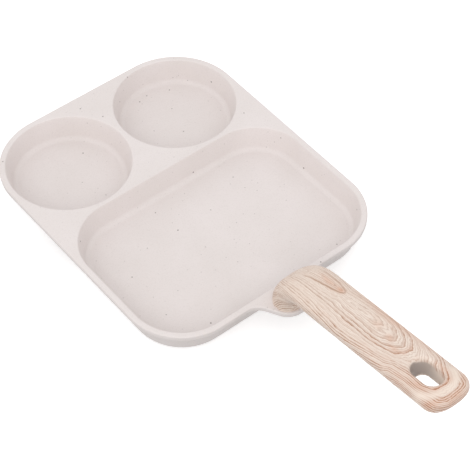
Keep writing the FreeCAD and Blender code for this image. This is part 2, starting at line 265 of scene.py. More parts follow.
def camera_and_light():
    """The camera where the photograph was taken from, and soft studio light."""
    lens = bpy.data.cameras.new("photo_camera")
    lens.sensor_width = 36.0
    lens.lens = CAMERA_LENS
    lens.shift_x = -HALF_PIXEL
    lens.shift_y = HALF_PIXEL
    lens.clip_start = 0.05
    lens.clip_end = 80.0
    camera = aimed("photo_camera", lens, CAMERA_PLACE, heading(CAMERA_TURN, CAMERA_RISE))
    scene = bpy.context.scene
    scene.camera = camera
    scene.view_settings.view_transform = "Standard"

    world = bpy.data.worlds.new("studio")
    scene.world = world
    world.use_nodes = True
    tree = world.node_tree
    direction = separated(tree, add(tree, "TexCoord").outputs["Generated"])
    height = maths(tree, "MULTIPLY_ADD", direction["Z"], 0.5, 0.5)
    sky = ramp(tree, height, [(0.0, SKY_BELOW), (0.43, SKY_BELOW), (0.5, 1.0), (1.0, 1.0)])
    dimmer = maths(tree, "MULTIPLY_ADD", direction["X"], -SKY_FALL, SKY_LEVEL)
    sky = colour_mix(tree, 1.0, sky, dimmer, "MULTIPLY")
    set_inputs(tree, tree.nodes["Background"], {"Color": sky, "Strength": 1.0})

    # a square soft box on the camera's side
    light = bpy.data.lights.new("key_light", "AREA")
    light.shape = "SQUARE"
    light.size = KEY_SIZE
    light.energy = KEY_POWER
    ahead = heading(KEY_TURN, KEY_RISE)
    aimed("key_light", light, PAN_MIDDLE - ahead * KEY_DISTANCE, ahead)


# Surfaces. A patch is a list of its points, its faces and the direction each point faces.
# A face has four point numbers, and the last is -1 in a triangle.


def grid_faces(rows, columns):
    """Faces of a grid of points, row by row, whose columns run round in a circle."""
    here = np.arange((rows - 1) * columns).reshape(rows - 1, columns)
    beside = np.roll(here, -1, axis=1)
    return np.stack([here, beside, beside + columns, here + columns], axis=-1)


def rounded_path(corners, arc_step):
    """Points round a polygon with rounded corners, and the directions out of it.

    Each corner is x, y and radius, anticlockwise. A corner's arc touches both sides: its
    middle lies on the line that halves the corner, radius / sin(half the angle) away.
    """
    vertices = np.array([corner[:2] for corner in corners], float)
    points = []
    outward = []
    for index, (*_, radius) in enumerate(corners):
        corner = vertices[index]
        back = vertices[index - 1] - corner
        ahead = vertices[(index + 1) % len(corners)] - corner
        back /= np.linalg.norm(back)
        ahead /= np.linalg.norm(ahead)
        half = math.acos(np.clip(back @ ahead, -1, 1)) / 2
        bisector = (back + ahead) / np.linalg.norm(back + ahead)
        middle = corner + bisector * (radius / math.sin(half))
        start = corner + back * (radius / math.tan(half)) - middle
        end = corner + ahead * (radius / math.tan(half)) - middle
        turn = math.atan2(start[0] * end[1] - start[1] * end[0], start @ end)
        steps = max(FEWEST_CORNER_STEPS, int(abs(turn) * radius / arc_step))
        angle = math.atan2(start[1], start[0]) + turn * np.arange(steps + 1) / steps
        spokes = np.stack([np.cos(angle), np.sin(angle)], axis=-1)
        points.append(middle + spokes * radius)
        outward.append(spokes * math.copysign(1, turn))
    run, run_outward = [], []
    for index, (arc, out) in enumerate(zip(points, outward)):
        run.append(arc)
        run_outward.append(out)
        way = points[(index + 1) % len(points)][0] - arc[-1]
        steps = int(np.linalg.norm(way) / (STRAIGHT_STEP_RATIO * arc_step))
        if steps > 1:
            run.append(arc[-1] + way * (np.arange(1, steps) / steps)[:, None])
            run_outward.append(np.repeat(out[-1:], steps - 1, axis=0))
    return np.concatenate(run), np.concatenate(run_outward)


def circle_path(x, y, radius, steps):
    """Points round a circle and the directions out of it."""
    angle = 2 * np.pi * np.arange(steps) / steps
    spokes = np.stack([np.cos(angle), np.sin(angle)], axis=-1)
    return np.array([x, y]) + spokes * radius, spokes


def carried_profile(path, profile):
    """A surface made by carrying a profile round a path.

    A row of the profile is inset, height, and the part of the surface's direction that
    points out of the path and the part that points up. The point is path - inset * out.
    """
    points, outward = path
    columns = np.array(profile, float).T
    inset, height, face_out, face_up = (column[:, None, None] for column in columns)
    ones = np.ones((len(profile), len(points), 1))
    grid = np.concatenate([points - inset * outward, height * ones], axis=-1)
    facing = np.concatenate([face_out * outward, face_up * ones], axis=-1)
    faces = grid_faces(len(profile), len(points))
    return [grid.reshape(-1, 3), faces.reshape(-1, 4), facing.reshape(-1, 3)]


def mirrored_path(left, arc_step):
    """The rounded path of an outline that is the same left and right.

    Left holds the corners of its left side, from the far end to the near one.
    """
    right = [(-x, y, radius) for x, y, radius in left[::-1]]
    return rounded_path(right[-1:] + left + right[:-1], arc_step)


def key_path(clearance):
    """Round the lug's key, or round the socket for it, which is larger by a clearance."""
    side, depth = KEY_HALF_LENGTH + clearance, KEY_HALF_WIDTH + clearance
    radius = KEY_CORNER_RADIUS + clearance
    return mirrored_path([(-side, FOOT_Y + depth, radius), (-side, FOOT_Y - depth, radius)], KEY_STEP)


def arc_rows(middle_inset, middle_height, radius, first, last, count, hollow=False):
    """Profile rows along an arc. 0 degrees is towards the inset side and 90 is up.

    The surface faces away from the arc's middle, or towards it where it is hollow.
    """
    angles = np.radians(np.linspace(first, last, count))
    side = -1.0 if hollow else 1.0
    inset = middle_inset + radius * np.cos(angles)
    height = middle_height + radius * np.sin(angles)
    return np.stack([inset, height, -side * np.cos(angles), side * np.sin(angles)], axis=-1)


def inside(loop, points):
    """Which points lie inside a closed loop: those with an odd number of crossings."""
    x, y = points[:, 0, None], points[:, 1, None]
    x0, y0 = loop[:, 0], loop[:, 1]
    x1, y1 = np.roll(x0, -1), np.roll(y0, -1)
    spans = (y0 > y) != (y1 > y)
    rise = np.where(y1 == y0, 1.0, y1 - y0)
    crossing = x0 + (y - y0) * (x1 - x0) / rise
    return (spans & (x < crossing)).sum(axis=1) % 2 == 1


def level_face(outer, holes, height, up):
    """A flat face at one height, inside an outer loop and outside the holes."""
    loops = [outer] + holes
    points = np.concatenate(loops)
    edges = []
    first = 0
    for loop in loops:
        numbers = first + np.arange(len(loop))
        edges.append(np.stack([numbers, np.roll(numbers, -1)], axis=-1))
        first += len(loop)
    edges = np.concatenate(edges).tolist()
    made = delaunay_2d_cdt([Vector(p) for p in points], edges, [], 0, 1e-9)
    origin = np.array([numbers[0] for numbers in made[3]])
    triangles = origin[np.array(made[2])]
    middles = points[triangles].mean(axis=1)
    kept = inside(outer, middles)
    for hole in holes:
        kept &= ~inside(hole, middles)
    triangles = triangles[kept]
    faces = np.pad(triangles, ((0, 0), (0, 1)), constant_values=-1)
    level = np.pad(points, ((0, 0), (0, 1)), constant_values=height)
    return [level, faces, np.tile([0.0, 0.0, float(up)], (len(points), 1))]


def face_directions(points, faces):
    """Each face's direction, twice as long as its area: (c - a) x (d - b), with d = a in
    a triangle."""
    a, b, c = points[faces[:, 0]], points[faces[:, 1]], points[faces[:, 2]]
    d = np.where(faces[:, 3:] < 0, a, points[faces[:, 3]])
    return np.cross(c - a, d - b)


def merged(points):
    """Makes points at the same place one: which of them are kept, and every point's number."""
    places = np.round(points, SAME_PLACE_DECIMALS)
    _, kept, number = np.unique(places, axis=0, return_index=True, return_inverse=True)
    return kept, number.reshape(-1)


def averaged_directions(points, faces):
    """Each point's direction: the mean of its faces', weighted by their areas."""
    directions = face_directions(points, faces)
    kept, number = merged(points)
    total = np.zeros((len(kept), 3))
    for column in range(4):
        used = faces[:, column] >= 0
        np.add.at(total, number[faces[used, column]], directions[used])
    total /= np.maximum(np.linalg.norm(total, axis=1, keepdims=True), 1e-12)
    return total[number]


def make_piece(name, patches, values=None):
    """One closed mesh from patches that share their borders.

    Every corner of a face keeps the direction that its own patch gives it, so an edge
    between two patches is as smooth as the formulas. Values are numbers for each point,
    by name, kept on the mesh for its material.
    """
    first = 0
    numbered = []
    for points, faces, facing in patches:
        numbered.append([points, np.where(faces < 0, -1, faces + first), facing])
        first += len(points)
    points, faces, facing = (np.concatenate(part) for part in zip(*numbered))
    wrong = (face_directions(points, faces) * facing[faces[:, 0]]).sum(axis=1) < 0
    triangle = faces[:, 3] < 0
    faces[wrong & triangle] = faces[wrong & triangle][:, [0, 2, 1, 3]]
    faces[wrong & ~triangle] = faces[wrong & ~triangle][:, [0, 3, 2, 1]]

    kept, number = merged(points)
    used = faces >= 0
    corners = faces[used]
    sizes = used.sum(axis=1)
    mesh = bpy.data.meshes.new(name)
    mesh.vertices.add(len(kept))
    mesh.vertices.foreach_set("co", (points[kept] * METRES).astype(np.float32).ravel())
    mesh.loops.add(len(corners))
    mesh.loops.foreach_set("vertex_index", number[corners].astype(np.int32))
    mesh.polygons.add(len(faces))
    mesh.polygons.foreach_set("loop_start", (np.cumsum(sizes) - sizes).astype(np.int32))
    for label, table in (values or {}).items():
        kind, field = ("FLOAT_VECTOR", "vector") if table.ndim == 2 else ("FLOAT", "value")
        layer = mesh.attributes.new(label, kind, "POINT")
        layer.data.foreach_set(field, table[kept].astype(np.float32).ravel())
    mesh.update(calc_edges=True)
    mesh.validate()
    mesh.shade_smooth()
    mesh.normals_split_custom_set(facing[corners].astype(np.float32))
    return added(name, mesh)


def space_profile():
    """From the deck down into a cup or the well: rounded mouth, drafted wall, rounded floor.

    Insets are measured from the wall at the height of the rim. The wall leans by the
    draft d, so an arc of radius r that touches it has its middle r / cos d from it.
    """
    d = WALL_DRAFT
    draft = math.degrees(d)
    inset = -MOUTH_ROUNDING * (1 - math.sin(d)) / math.cos(d)
    mouth = arc_rows(inset, RIM_HEIGHT - MOUTH_ROUNDING, MOUTH_ROUNDING, 90, draft, MOUTH_POINTS)
    height = FLOOR_HEIGHT + FLOOR_FILLET
    inset = (FLOOR_FILLET + (RIM_HEIGHT - height) * math.sin(d)) / math.cos(d)
    floor = arc_rows(inset, height, FLOOR_FILLET, 180 + draft, 270, FLOOR_POINTS, hollow=True)
    return np.concatenate([mouth, floor])


def pot_profile():
    """The outside of a cup or the well, from the underside of the rim to the base."""
    d = WALL_DRAFT
    draft = math.degrees(d)
    top_inset = -WALL_THICKNESS + (RIM_HEIGHT - FLANGE_UNDERSIDE) * math.tan(d)
    top = [[top_inset, FLANGE_UNDERSIDE, math.cos(d), -math.sin(d)]]
    inset = -WALL_THICKNESS + (BASE_FILLET + (RIM_HEIGHT - BASE_FILLET) * math.sin(d)) / math.cos(d)
    base = arc_rows(inset, BASE_FILLET, BASE_FILLET, 180 + draft, 270, BASE_POINTS)
    return np.concatenate([top, base])


def rim_profile():
    """The edge of the flange: rounded top edge, upright side and rounded lower edge."""
    top_middle = RIM_HEIGHT - RIM_TOP_ROUNDING
    low_middle = FLANGE_UNDERSIDE + RIM_LOWER_ROUNDING
    top = arc_rows(RIM_TOP_ROUNDING, top_middle, RIM_TOP_ROUNDING, 90, 180, RIM_TOP_POINTS)
    low = arc_rows(RIM_LOWER_ROUNDING, low_middle, RIM_LOWER_ROUNDING, 180, 270, RIM_LOWER_POINTS)
    return np.concatenate([top, low])


def border(path, inset):
    """The loop of a path at an inset."""
    points, outward = path
    return points - inset * outward


def kept_apart(patch, side):
    """A pot's outside, held on its own side of the line between the cups and the well."""
    line = POT_DIVIDE_Y + side * POT_DIVIDE_GAP
    limit = np.maximum if side > 0 else np.minimum
    patch[0][:, 1] = limit(patch[0][:, 1], line)
    return patch


def casting():
    """The pan: flange, deck, two cups, the wide well, their pots, the lug and its key."""
    outline = mirrored_path([
        (-PAN_HALF_WIDTH, PAN_HALF_LENGTH, CUP_MOUTH_RADIUS + RIM_MARGIN),
        (-PAN_HALF_WIDTH, -PAN_HALF_LENGTH, NEAR_CORNER_RADIUS),
        (-LUG_ROOT_HALF_WIDTH, -PAN_HALF_LENGTH, LUG_NECK_RADIUS),
        (-LUG_FRONT_HALF_WIDTH, -PAN_HALF_LENGTH - LUG_REACH, LUG_CORNER_RADIUS),
    ], OUTLINE_STEP)
    well_half_width = PAN_HALF_WIDTH - RIM_MARGIN
    well = mirrored_path([
        (-well_half_width, WELL_FAR_Y, WELL_FAR_CORNER_RADIUS),
        (-well_half_width, WELL_NEAR_Y, NEAR_CORNER_RADIUS - RIM_MARGIN),
    ], WELL_STEP)
    cups = [circle_path(x, CUP_Y, CUP_MOUTH_RADIUS, CUP_STEPS) for x in (-CUP_X, CUP_X)]
    key = key_path(0)
    hole = circle_path(0, FOOT_Y, SCREW_HOLE_RADIUS, HOLE_STEPS)
    key_top = RIM_HEIGHT + KEY_HEIGHT

    space, pot, rim = space_profile(), pot_profile(), rim_profile()
    patches = [carried_profile(outline, rim)]
    mouths, pot_tops = [], []
    for path, side in zip(cups + [well], (1, 1, -1)):
        outside = kept_apart(carried_profile(path, pot), side)
        count = len(path[0])
        patches += [
            carried_profile(path, space),
            outside,
            level_face(border(path, space[-1, 0]), [], space[-1, 1], 1),
            level_face(outside[0][-count:, :2], [], pot[-1, 1], -1),
        ]
        mouths.append(border(path, space[0, 0]))
        pot_tops.append(outside[0][:count, :2])
    patches += [
        level_face(border(outline, rim[0, 0]), mouths + [key[0]], rim[0, 1], 1),
        level_face(border(outline, rim[-1, 0]), pot_tops + [hole[0]], rim[-1, 1], -1),
        carried_profile(key, [[0, RIM_HEIGHT, 1, 0], [0, key_top, 1, 0]]),
        level_face(key[0], [hole[0]], key_top, 1),
        carried_profile(hole, [[0, key_top, -1, 0], [0, rim[-1, 1], -1, 0]]),
    ]
    return make_piece("pan_casting", patches)


def edge_drop(advance, radius):
    """How far a rounded edge of the tip has fallen: radius * (1 - sqrt(1 - past^2)).

    Past is the share of the radius that lies behind the point.
    """
    past = np.clip((advance - TIP_CORNER_RADIUS + radius) / radius, 0, 1)
    return radius * (1 - np.sqrt(1 - past**2))


def bend_ends():
    """The bend's two arc middles, the end of its top arc, and the grip's first top and
    underside points."""
    outer = np.array([0.0, FOOT_Y + FOOT_THICKNESS / 2 - BEND_OUTER_RADIUS, RIM_HEIGHT])
    inner = np.array([0.0, FOOT_Y - FOOT_THICKNESS / 2 - BEND_INNER_RADIUS, RIM_HEIGHT])
    top_line = outer + GRIP_NORMAL * BEND_OUTER_RADIUS
    gap = (top_line - inner) @ GRIP_NORMAL
    inner[2] += (gap - GRIP_THICKNESS - BEND_INNER_RADIUS) / math.cos(GRIP_ANGLE)
    under_end = inner + GRIP_NORMAL * BEND_INNER_RADIUS
    return outer, inner, top_line, under_end + GRIP_NORMAL * GRIP_THICKNESS, under_end


OUTER_MIDDLE, INNER_MIDDLE, TOP_LINE, TOP_END, UNDER_END = bend_ends()
TURN = math.pi / 2 - GRIP_ANGLE
GRIP_START = (TOP_END + UNDER_END) / 2
GRIP_LENGTH = (GRIP_START[1] + PAN_HALF_LENGTH + HANDLE_REACH) / math.cos(GRIP_ANGLE)
STRAIGHT_LENGTH = GRIP_LENGTH - TIP_CORNER_RADIUS
SLOT_MIDDLE = GRIP_LENGTH - SLOT_FROM_TIP
BEND_LENGTH = BEND_OUTER_RADIUS * TURN + np.linalg.norm(TOP_END - TOP_LINE)


def bend_lines(share):
    """Top and underside points at a share of the bend, each evenly along its own line.

    The top line is an arc and then a straight run, the underside a straight rise and then
    an arc. Both arcs start level, in the foot's plane, and turn by a right angle less the
    grip's angle.
    """
    share = share[:, None]
    way = share * BEND_LENGTH
    angle = np.minimum(way / BEND_OUTER_RADIUS, TURN)
    past = np.maximum(way - BEND_OUTER_RADIUS * TURN, 0)
    spoke = np.cos(angle) * FORWARD + np.sin(angle) * UP
    upper = OUTER_MIDDLE + BEND_OUTER_RADIUS * spoke + past * GRIP_OUTWARD
    rise = INNER_MIDDLE[2] - RIM_HEIGHT
    way = share * (rise + BEND_INNER_RADIUS * TURN)
    angle = np.maximum(way - rise, 0) / BEND_INNER_RADIUS
    spoke = np.cos(angle) * FORWARD + np.sin(angle) * UP
    lower = INNER_MIDDLE + BEND_INNER_RADIUS * spoke - np.maximum(rise - way, 0) * UP
    return lower, upper


def grip_half_width(along):
    """Half the grip's width, which a quarter circle draws in at the tip's corners."""
    advance = np.clip((along - STRAIGHT_LENGTH) / TIP_CORNER_RADIUS, 0, 1)
    return GRIP_HALF_WIDTH - TIP_CORNER_RADIUS * (1 - np.sqrt(1 - advance**2))


def grip_heights(across, along):
    """Heights of the grip's top and underside over its middle plane.

    Above and below the widest line the outline is |x/a|^n + |z/b|^n = 1, with n the
    roundness of that half.
    """
    advance = np.maximum(along - STRAIGHT_LENGTH, 0)
    crest = GRIP_THICKNESS / 2 - edge_drop(advance, TIP_TOP_RADIUS)
    keel = -GRIP_THICKNESS / 2 + edge_drop(advance, TIP_UNDER_RADIUS)
    widest = crest + (keel - crest) * GRIP_CROWN_SHARE
    share = np.minimum(np.abs(across) / grip_half_width(along), 1)
    halves = ((crest, GRIP_TOP_ROUNDNESS), (keel, GRIP_UNDER_ROUNDNESS))
    return [widest + (edge - widest) * (1 - share**n) ** (1 / n) for edge, n in halves]


def grip_point(across, along, height):
    """A point of the grip from its distances across, along and above the middle plane."""
    return (
        GRIP_START
        + across[..., None] * ACROSS
        + along[..., None] * GRIP_OUTWARD
        + height[..., None] * GRIP_NORMAL
    )


def section_columns():
    """Places round a section, as shares of its half width, and which are on its top.

    They are at cos(angle), closer together near the widest line.
    """
    angle = np.pi / 2 * (np.arange(QUARTER_COLUMNS + 1) / QUARTER_COLUMNS) ** COLUMN_SPACING
    half_row = np.cos(angle)
    half_row[-1] = 0.0
    top = np.concatenate([half_row, -half_row[-2::-1]])
    columns = np.concatenate([top, -top[1:-1]])
    return columns, np.arange(len(columns)) < len(top)


def bend_skin(columns, above):
    """The skin of the foot and the bend, row by row, and each point's place in the print.

    A section's outline is the one that grip_heights describes, with sizes that change
    evenly from the foot's to the grip's.
    """
    share = np.linspace(0, 1, BEND_ROWS)
    lower, upper = bend_lines(share)
    share = share[:, None]
    half = FOOT_HALF_WIDTH + (GRIP_HALF_WIDTH - FOOT_HALF_WIDTH) * share
    crown = 0.5 + (GRIP_CROWN_SHARE - 0.5) * share
    widest = upper + (lower - upper) * crown
    grip_roundness = np.where(above, GRIP_TOP_ROUNDNESS, GRIP_UNDER_ROUNDNESS)
    roundness = FOOT_ROUNDNESS + (grip_roundness - FOOT_ROUNDNESS) * share
    level = (1 - np.abs(columns) ** roundness) ** (1 / roundness)
    reach = np.where(above[:, None], (upper - widest)[:, None], (lower - widest)[:, None])
    across = half * columns
    along = share * BEND_LENGTH + 0 * across
    height = GRIP_THICKNESS * (0.5 - crown + level * np.where(above, crown, crown - 1))
    skin = widest[:, None] + across[..., None] * ACROSS + level[..., None] * reach
    return skin, np.stack([along, across, height], axis=-1)


def grip_skin(columns, above):
    """The skin of the grip and the tip, row by row, and each point's place in the print."""
    before = np.linspace(0, SLOT_MIDDLE - SLOT_HALF_LENGTH - OPENING_BEFORE, ROWS_BEFORE_SLOT)
    beside = np.linspace(before[-1], STRAIGHT_LENGTH + OPENING_BEYOND, ROWS_BESIDE_SLOT)
    turned = math.asin(OPENING_BEYOND / TIP_CORNER_RADIUS)
    tip = STRAIGHT_LENGTH + TIP_CORNER_RADIUS * np.sin(np.linspace(turned, np.pi / 2, TIP_ROWS))
    along = np.concatenate([before, beside[1:], tip[1:]])[:, None]
    across = grip_half_width(along) * columns
    along = along + 0 * across
    top, under = grip_heights(across, along)
    height = np.where(above, top, under)
    place = np.stack([BEND_LENGTH + along, across, height], axis=-1)
    return grip_point(across, along, height), place


def foot_patches(sole):
    """The foot's flat sole, the socket for the lug's key and the bore for the insert."""
    key = key_path(SOCKET_CLEARANCE)
    bore = circle_path(0, FOOT_Y, BORE_RADIUS, HOLE_STEPS)
    return [
        level_face(sole, [key[0]], RIM_HEIGHT, -1),
        carried_profile(key, [[0, RIM_HEIGHT, -1, 0], [0, SOCKET_ROOF, -1, 0]]),
        level_face(key[0], [bore[0]], SOCKET_ROOF, -1),
        carried_profile(bore, [[0, SOCKET_ROOF, -1, 0], [0, BORE_ROOF, -1, 0]]),
        level_face(bore[0], [], BORE_ROOF, -1),
    ]


def handle_grip():
    """The handle: one smooth skin from the foot to the tip, with the hanging slot in it."""
    columns, above = section_columns()
    bend, bend_place = bend_skin(columns, above)
    grip, grip_place = grip_skin(columns, above)
    skin = np.concatenate([bend, grip[1:]])
    place = np.concatenate([bend_place, grip_place[1:]])
    count = len(columns)

    # two openings in the skin, above and below, for the slot
    faces = grid_faces(len(skin), count)
    first_row = BEND_ROWS + ROWS_BEFORE_SLOT - 2
    last_row = first_row + ROWS_BESIDE_SLOT - 1
    right_half = columns[:QUARTER_COLUMNS + 1] * GRIP_HALF_WIDTH
    first_column = int(np.argmin(np.abs(right_half - OPENING_HALF_WIDTH)))
    last_column = 2 * QUARTER_COLUMNS - first_column
    kept = np.ones(faces.shape[:2], bool)
    kept[first_row:last_row, first_column:last_column] = False
    kept[first_row:last_row, count - last_column:count - first_column] = False

    # slot: rings round its outline between the two openings
    down = np.arange(first_column, last_column)
    rows = np.arange(first_row, last_row)
    loop_row = np.concatenate([0 * down + first_row, rows, 0 * down + last_row, rows[::-1] + 1])
    loop_column = np.concatenate([down, 0 * rows + last_column, down[::-1] + 1, 0 * rows + first_column])
    edge = place[loop_row, loop_column]
    rings, ring_place, below = slot_rings(edge[:, 1], edge[:, 0] - BEND_LENGTH)
    top_loop, under_loop = (loop_row, loop_column), (loop_row, (count - loop_column) % count)
    rings[0], rings[-1] = skin[top_loop], skin[under_loop]
    ring_place[0], ring_place[-1] = place[top_loop], place[under_loop]
    skin_points = len(skin) * count
    ring_faces = grid_faces(len(rings), rings.shape[1]).reshape(-1, 4) + skin_points

    # the last row closes in the middle of the tip
    middle_number = skin_points + rings.shape[0] * rings.shape[1]
    last = (len(skin) - 1) * count + np.arange(count)
    cap = np.stack([last, np.roll(last, -1), np.full(count, middle_number), np.full(count, -1)], axis=-1)
    points = np.concatenate([skin.reshape(-1, 3), rings.reshape(-1, 3), skin[-1:].mean(axis=1)])
    places = np.concatenate([place.reshape(-1, 3), ring_place.reshape(-1, 3), place[-1:].mean(axis=1)])
    faces = np.concatenate([faces[kept], ring_faces, cap])
    foot = foot_patches(skin[0, :, :2])
    hidden = sum(len(patch[0]) for patch in foot)
    places = np.concatenate([places, np.zeros((hidden, 3))])
    # the foot's hidden faces count as 9 mm inside the slot, where the plastic is bare
    depths = np.concatenate([np.zeros(skin_points), below.ravel(), np.zeros(1), np.full(hidden, 9.0)])
    return make_piece("handle_grip", [[points, faces, averaged_directions(points, faces)]] + foot, {
        "grain_place": places * 0.1,  # in centimetres
        "grain_rings": ring_count(places),
        # the tint also carries painted shade: stronger lines at the grip's edges and on the foot, and a
        # darker far edge
        "grain_tint_and_shade": print_tint_and_shade(places, depths),
        "grain_flame": flame_edge(places),
    })


def slot_rings(edge_across, edge_along):
    """Rings from an opening in the grip's top through the slot to the one in its underside.

    Each point of the opening looks at the nearest point of the slot's middle line. Rings
    are at distances q from that line. The slot's wall is at q = half width + height *
    tan(draft), and an arc of radius r that touches wall and skin has its middle r below
    the skin and r / cos(draft) from the wall. The print is carried straight down into it.
    Also given are the points' places in the print and how far they lie inside the slot.
    """
    straight = SLOT_HALF_LENGTH - SLOT_HALF_WIDTH
    foot = SLOT_MIDDLE + np.clip(edge_along - SLOT_MIDDLE, -straight, straight)
    spoke = np.stack([edge_across, edge_along - foot], axis=-1)
    distance = np.linalg.norm(spoke, axis=-1)
    spoke /= distance[:, None]

    def skin(q, side, drop=0.0):
        """Points at a distance from the middle line, and a drop below one side's skin."""
        across, along = spoke[:, 0] * q, foot + spoke[:, 1] * q
        return np.stack([across, along, grip_heights(across, along)[side] - drop], axis=-1)

    sheets = []
    for side, radius in ((0, SLOT_TOP_ROUNDING), (1, SLOT_UNDER_ROUNDING)):
        up = 1 - 2 * side
        level = skin(SLOT_HALF_WIDTH + radius, side, up * radius)[:, 2]
        middle = SLOT_HALF_WIDTH + level * math.tan(SLOT_DRAFT) + radius / math.cos(SLOT_DRAFT)
        sheet = []
        for share in np.linspace(0, 1, SLOT_LEDGE_ROWS)[:-1]:
            sheet.append(skin(distance + (middle - distance) * share, side))
        for angle in np.linspace(np.pi / 2, up * SLOT_DRAFT, SLOT_EDGE_ROWS):
            drop = up * radius * (1 - np.sin(angle))
            sheet.append(skin(middle - radius * np.cos(angle), side, drop))
        sheets.append(sheet)
    top, under = sheets[0], sheets[1][::-1]
    shares = np.linspace(0, 1, SLOT_WALL_ROWS)[1:-1]
    wall = [top[-1] + (under[0] - top[-1]) * share for share in shares]
    across, along, height = np.moveaxis(np.array(top + wall + under), -1, 0)
    crest, keel = grip_heights(across, along)
    nearest = np.where(height > (crest + keel) / 2, crest, keel)
    place = np.stack([BEND_LENGTH + along, across, nearest], axis=-1)
    # from the underside depths count double, and 1 mm more
    below = np.minimum(crest - height, 2 * (height - keel) + 1)
    below[0], below[-1] = 0, 0
    return grip_point(across, along, height), place, below


def smooth_step(value, low, high):
    """0 below low, 1 above high and an even curve between: 3 t^2 - 2 t^3.

    Given the negatives of a value and its limits, it falls from 1 to 0 as the value rises.
    """
    t = np.clip((value - low) / (high - low), 0, 1)
    return t * t * (3 - 2 * t)


def soft_patches(rows, along, across):
    """Soft ellipses added up: strength * exp(-(x / half length)^2 - (y / half width)^2)."""
    total = 0 * along
    for x, y, length, width, amount in rows:
        total = total + amount * np.exp(-(((along - x) / length) ** 2) - ((across - y) / width) ** 2)
    return total


def soft_band(distance, middle, half_width):
    """1 at a distance, and less on both sides of it as exp(-(off / half width)^2)."""
    return np.exp(-(((distance - middle) / half_width) ** 2))


def gathered(past, rings, softness):
    """Extra rings past a line, which set in softly: rings * past^2 / (softness + past)."""
    past = np.maximum(past, 0)
    return rings * past**2 / (softness + past)


def flame(place):
    """The blunt flame in the print of the bend: middle line, half width, distance from its edge.

    Behind its point its half width grows as widest * sqrt(1 - exp(-back / taper)), and
    ahead of it the distance is the one to the point. It is less than nothing within the
    flame.
    """
    along, across = place[..., 0], place[..., 1]
    back = np.maximum(FLAME_POINT - along, 0)
    ahead = np.maximum(along - FLAME_POINT, 0)
    middle = FLAME_ACROSS - FLAME_DRIFT * back**2
    half = FLAME_HALF_WIDTH * np.sqrt(1 - np.exp(-back / FLAME_TAPER))
    return middle, half, np.sqrt((across - middle) ** 2 + ahead**2) - half


def ring_count(place):
    """How many growth rings of the printed wood lie between a point and the heart.

    Rings are tubes round a heart line, which comes to the skin in the middle of the grip
    and dives towards the tip: count = (side^p + depth^p)^(1/p), both in ring widths. They
    leave nested arches on the top, the last of them round the tip. Down the sides they
    follow one another as the skin drops. More of them gather along the grip's left edge.
    The flame pushes the rings beside it away and has its own, counted inwards from its
    edge. Near the sole they turn until they go round the foot.
    """
    along, across, height = np.moveaxis(place, -1, 0)
    columns = [np.interp(along, HEART_LINE[:, 0], column) for column in HEART_LINE.T[1:]]
    heart, depth, right, left, boxy = columns
    middle, half, edge = flame(place)
    outside = np.maximum(np.abs(across - middle) - half, 0)
    pushed = np.sign(across - middle) * (outside + half * (1 - np.exp(-outside / FLAME_PUSH)))
    side = pushed + middle - heart
    side = np.abs(side) / np.where(side < 0, left, right)
    drop = GRIP_THICKNESS / 2 - height
    steep = SIDE_RINGS + (1 - SIDE_RINGS) * smooth_step(-along, -45, -15)
    crowd = smooth_step(along, 85, 115) * gathered(LEFT_LINE - across, LEFT_RINGS, LEFT_SOFTNESS)
    count = (side**boxy + depth**boxy) ** (1 / boxy) + steep * drop + crowd
    own = np.maximum(-edge, 0) / FLAME_RING_WIDTH
    return count + own + gathered(FOOT_LINE - along, FOOT_RINGS, FOOT_SOFTNESS)


def flame_edge(place):
    """Distance from the flame's edge, and how dark the line along that edge is."""
    along, across = place[..., 0], place[..., 1]
    middle, half, edge = flame(place)
    dark = smooth_step(along, 28, 48) * np.where(across < middle, 0.8, 0.55)
    return np.stack([edge, dark, 0 * edge], axis=-1)


def print_tint_and_shade(place, below):
    """Per point: how strong the print's lines are, with painted shade as stronger lines at
    the grip's edges and on the foot, how pink it is, with painted shade along the grip's
    far edge, and how bare the plastic.

    Round the slot's far end lie a pale band and a dark one, with pinkish bands along
    them. The print ends inside the slot, deeper on the side of the tip.
    """
    along, across, height = np.moveaxis(place, -1, 0)
    past_bend = 0.35 + 0.65 * smooth_step(along, 45, 95)
    on_foot = smooth_step(-along, -30, -8)
    aside = across * np.where(across < 0, SLOT_LEFT_SHARE, 1.0)
    round_slot = np.hypot(aside, np.maximum(along - SLOT_END, 0))
    pale = soft_band(round_slot, *PALE_BAND) * smooth_step(along, 150, 160)
    dark = soft_band(round_slot, *DARK_BAND) * smooth_step(along, 155, 165)
    # stronger towards the tip and round it and on the left half; stronger at both edges of
    # the grip and on the foot, most on its side away from the pan, as painted shade where the
    # skin turns from the light and the bend shades the foot
    strength = (
        0.8
        + 0.05 * smooth_step(along, 95, 130)
        + 0.55 * smooth_step(along, 138, 150)
        + 0.45 * past_bend * smooth_step(-across, 0, 9)
        + 0.4 * past_bend * smooth_step(np.abs(across), 13, 16.5)
        + on_foot * (0.5 + 0.5 * smooth_step(-height, -2, 5))
        - soft_patches(WORN_PATCHES, along, across)
        - 1.2 * pale
        + 0.5 * dark
    )
    pink_bands = sum(soft_band(round_slot, *band) for band in PINK_BANDS)
    pink = soft_patches(BLUSHES_AND_EDGE_SHADE, along, across) + 0.4 * pink_bands * smooth_step(along, 145, 155)
    toward_tip = smooth_step(along - BEND_LENGTH, SLOT_MIDDLE - 2, SLOT_MIDDLE + 5)
    print_depth = (1.6 + 2.2 * toward_tip) * smooth_step(across, -1, 4)
    bare = np.maximum(smooth_step(below - print_depth, 1.0, 2.4), 0.6 * pale)
    return np.stack([np.maximum(strength, 0.1), np.minimum(pink, 1), bare], axis=-1)


def shader(name):
    """A new material with its node tree and its main shader."""
    material = bpy.data.materials.new(name)
    material.use_nodes = True
    return material, material.node_tree, material.node_tree.nodes["Principled BSDF"]


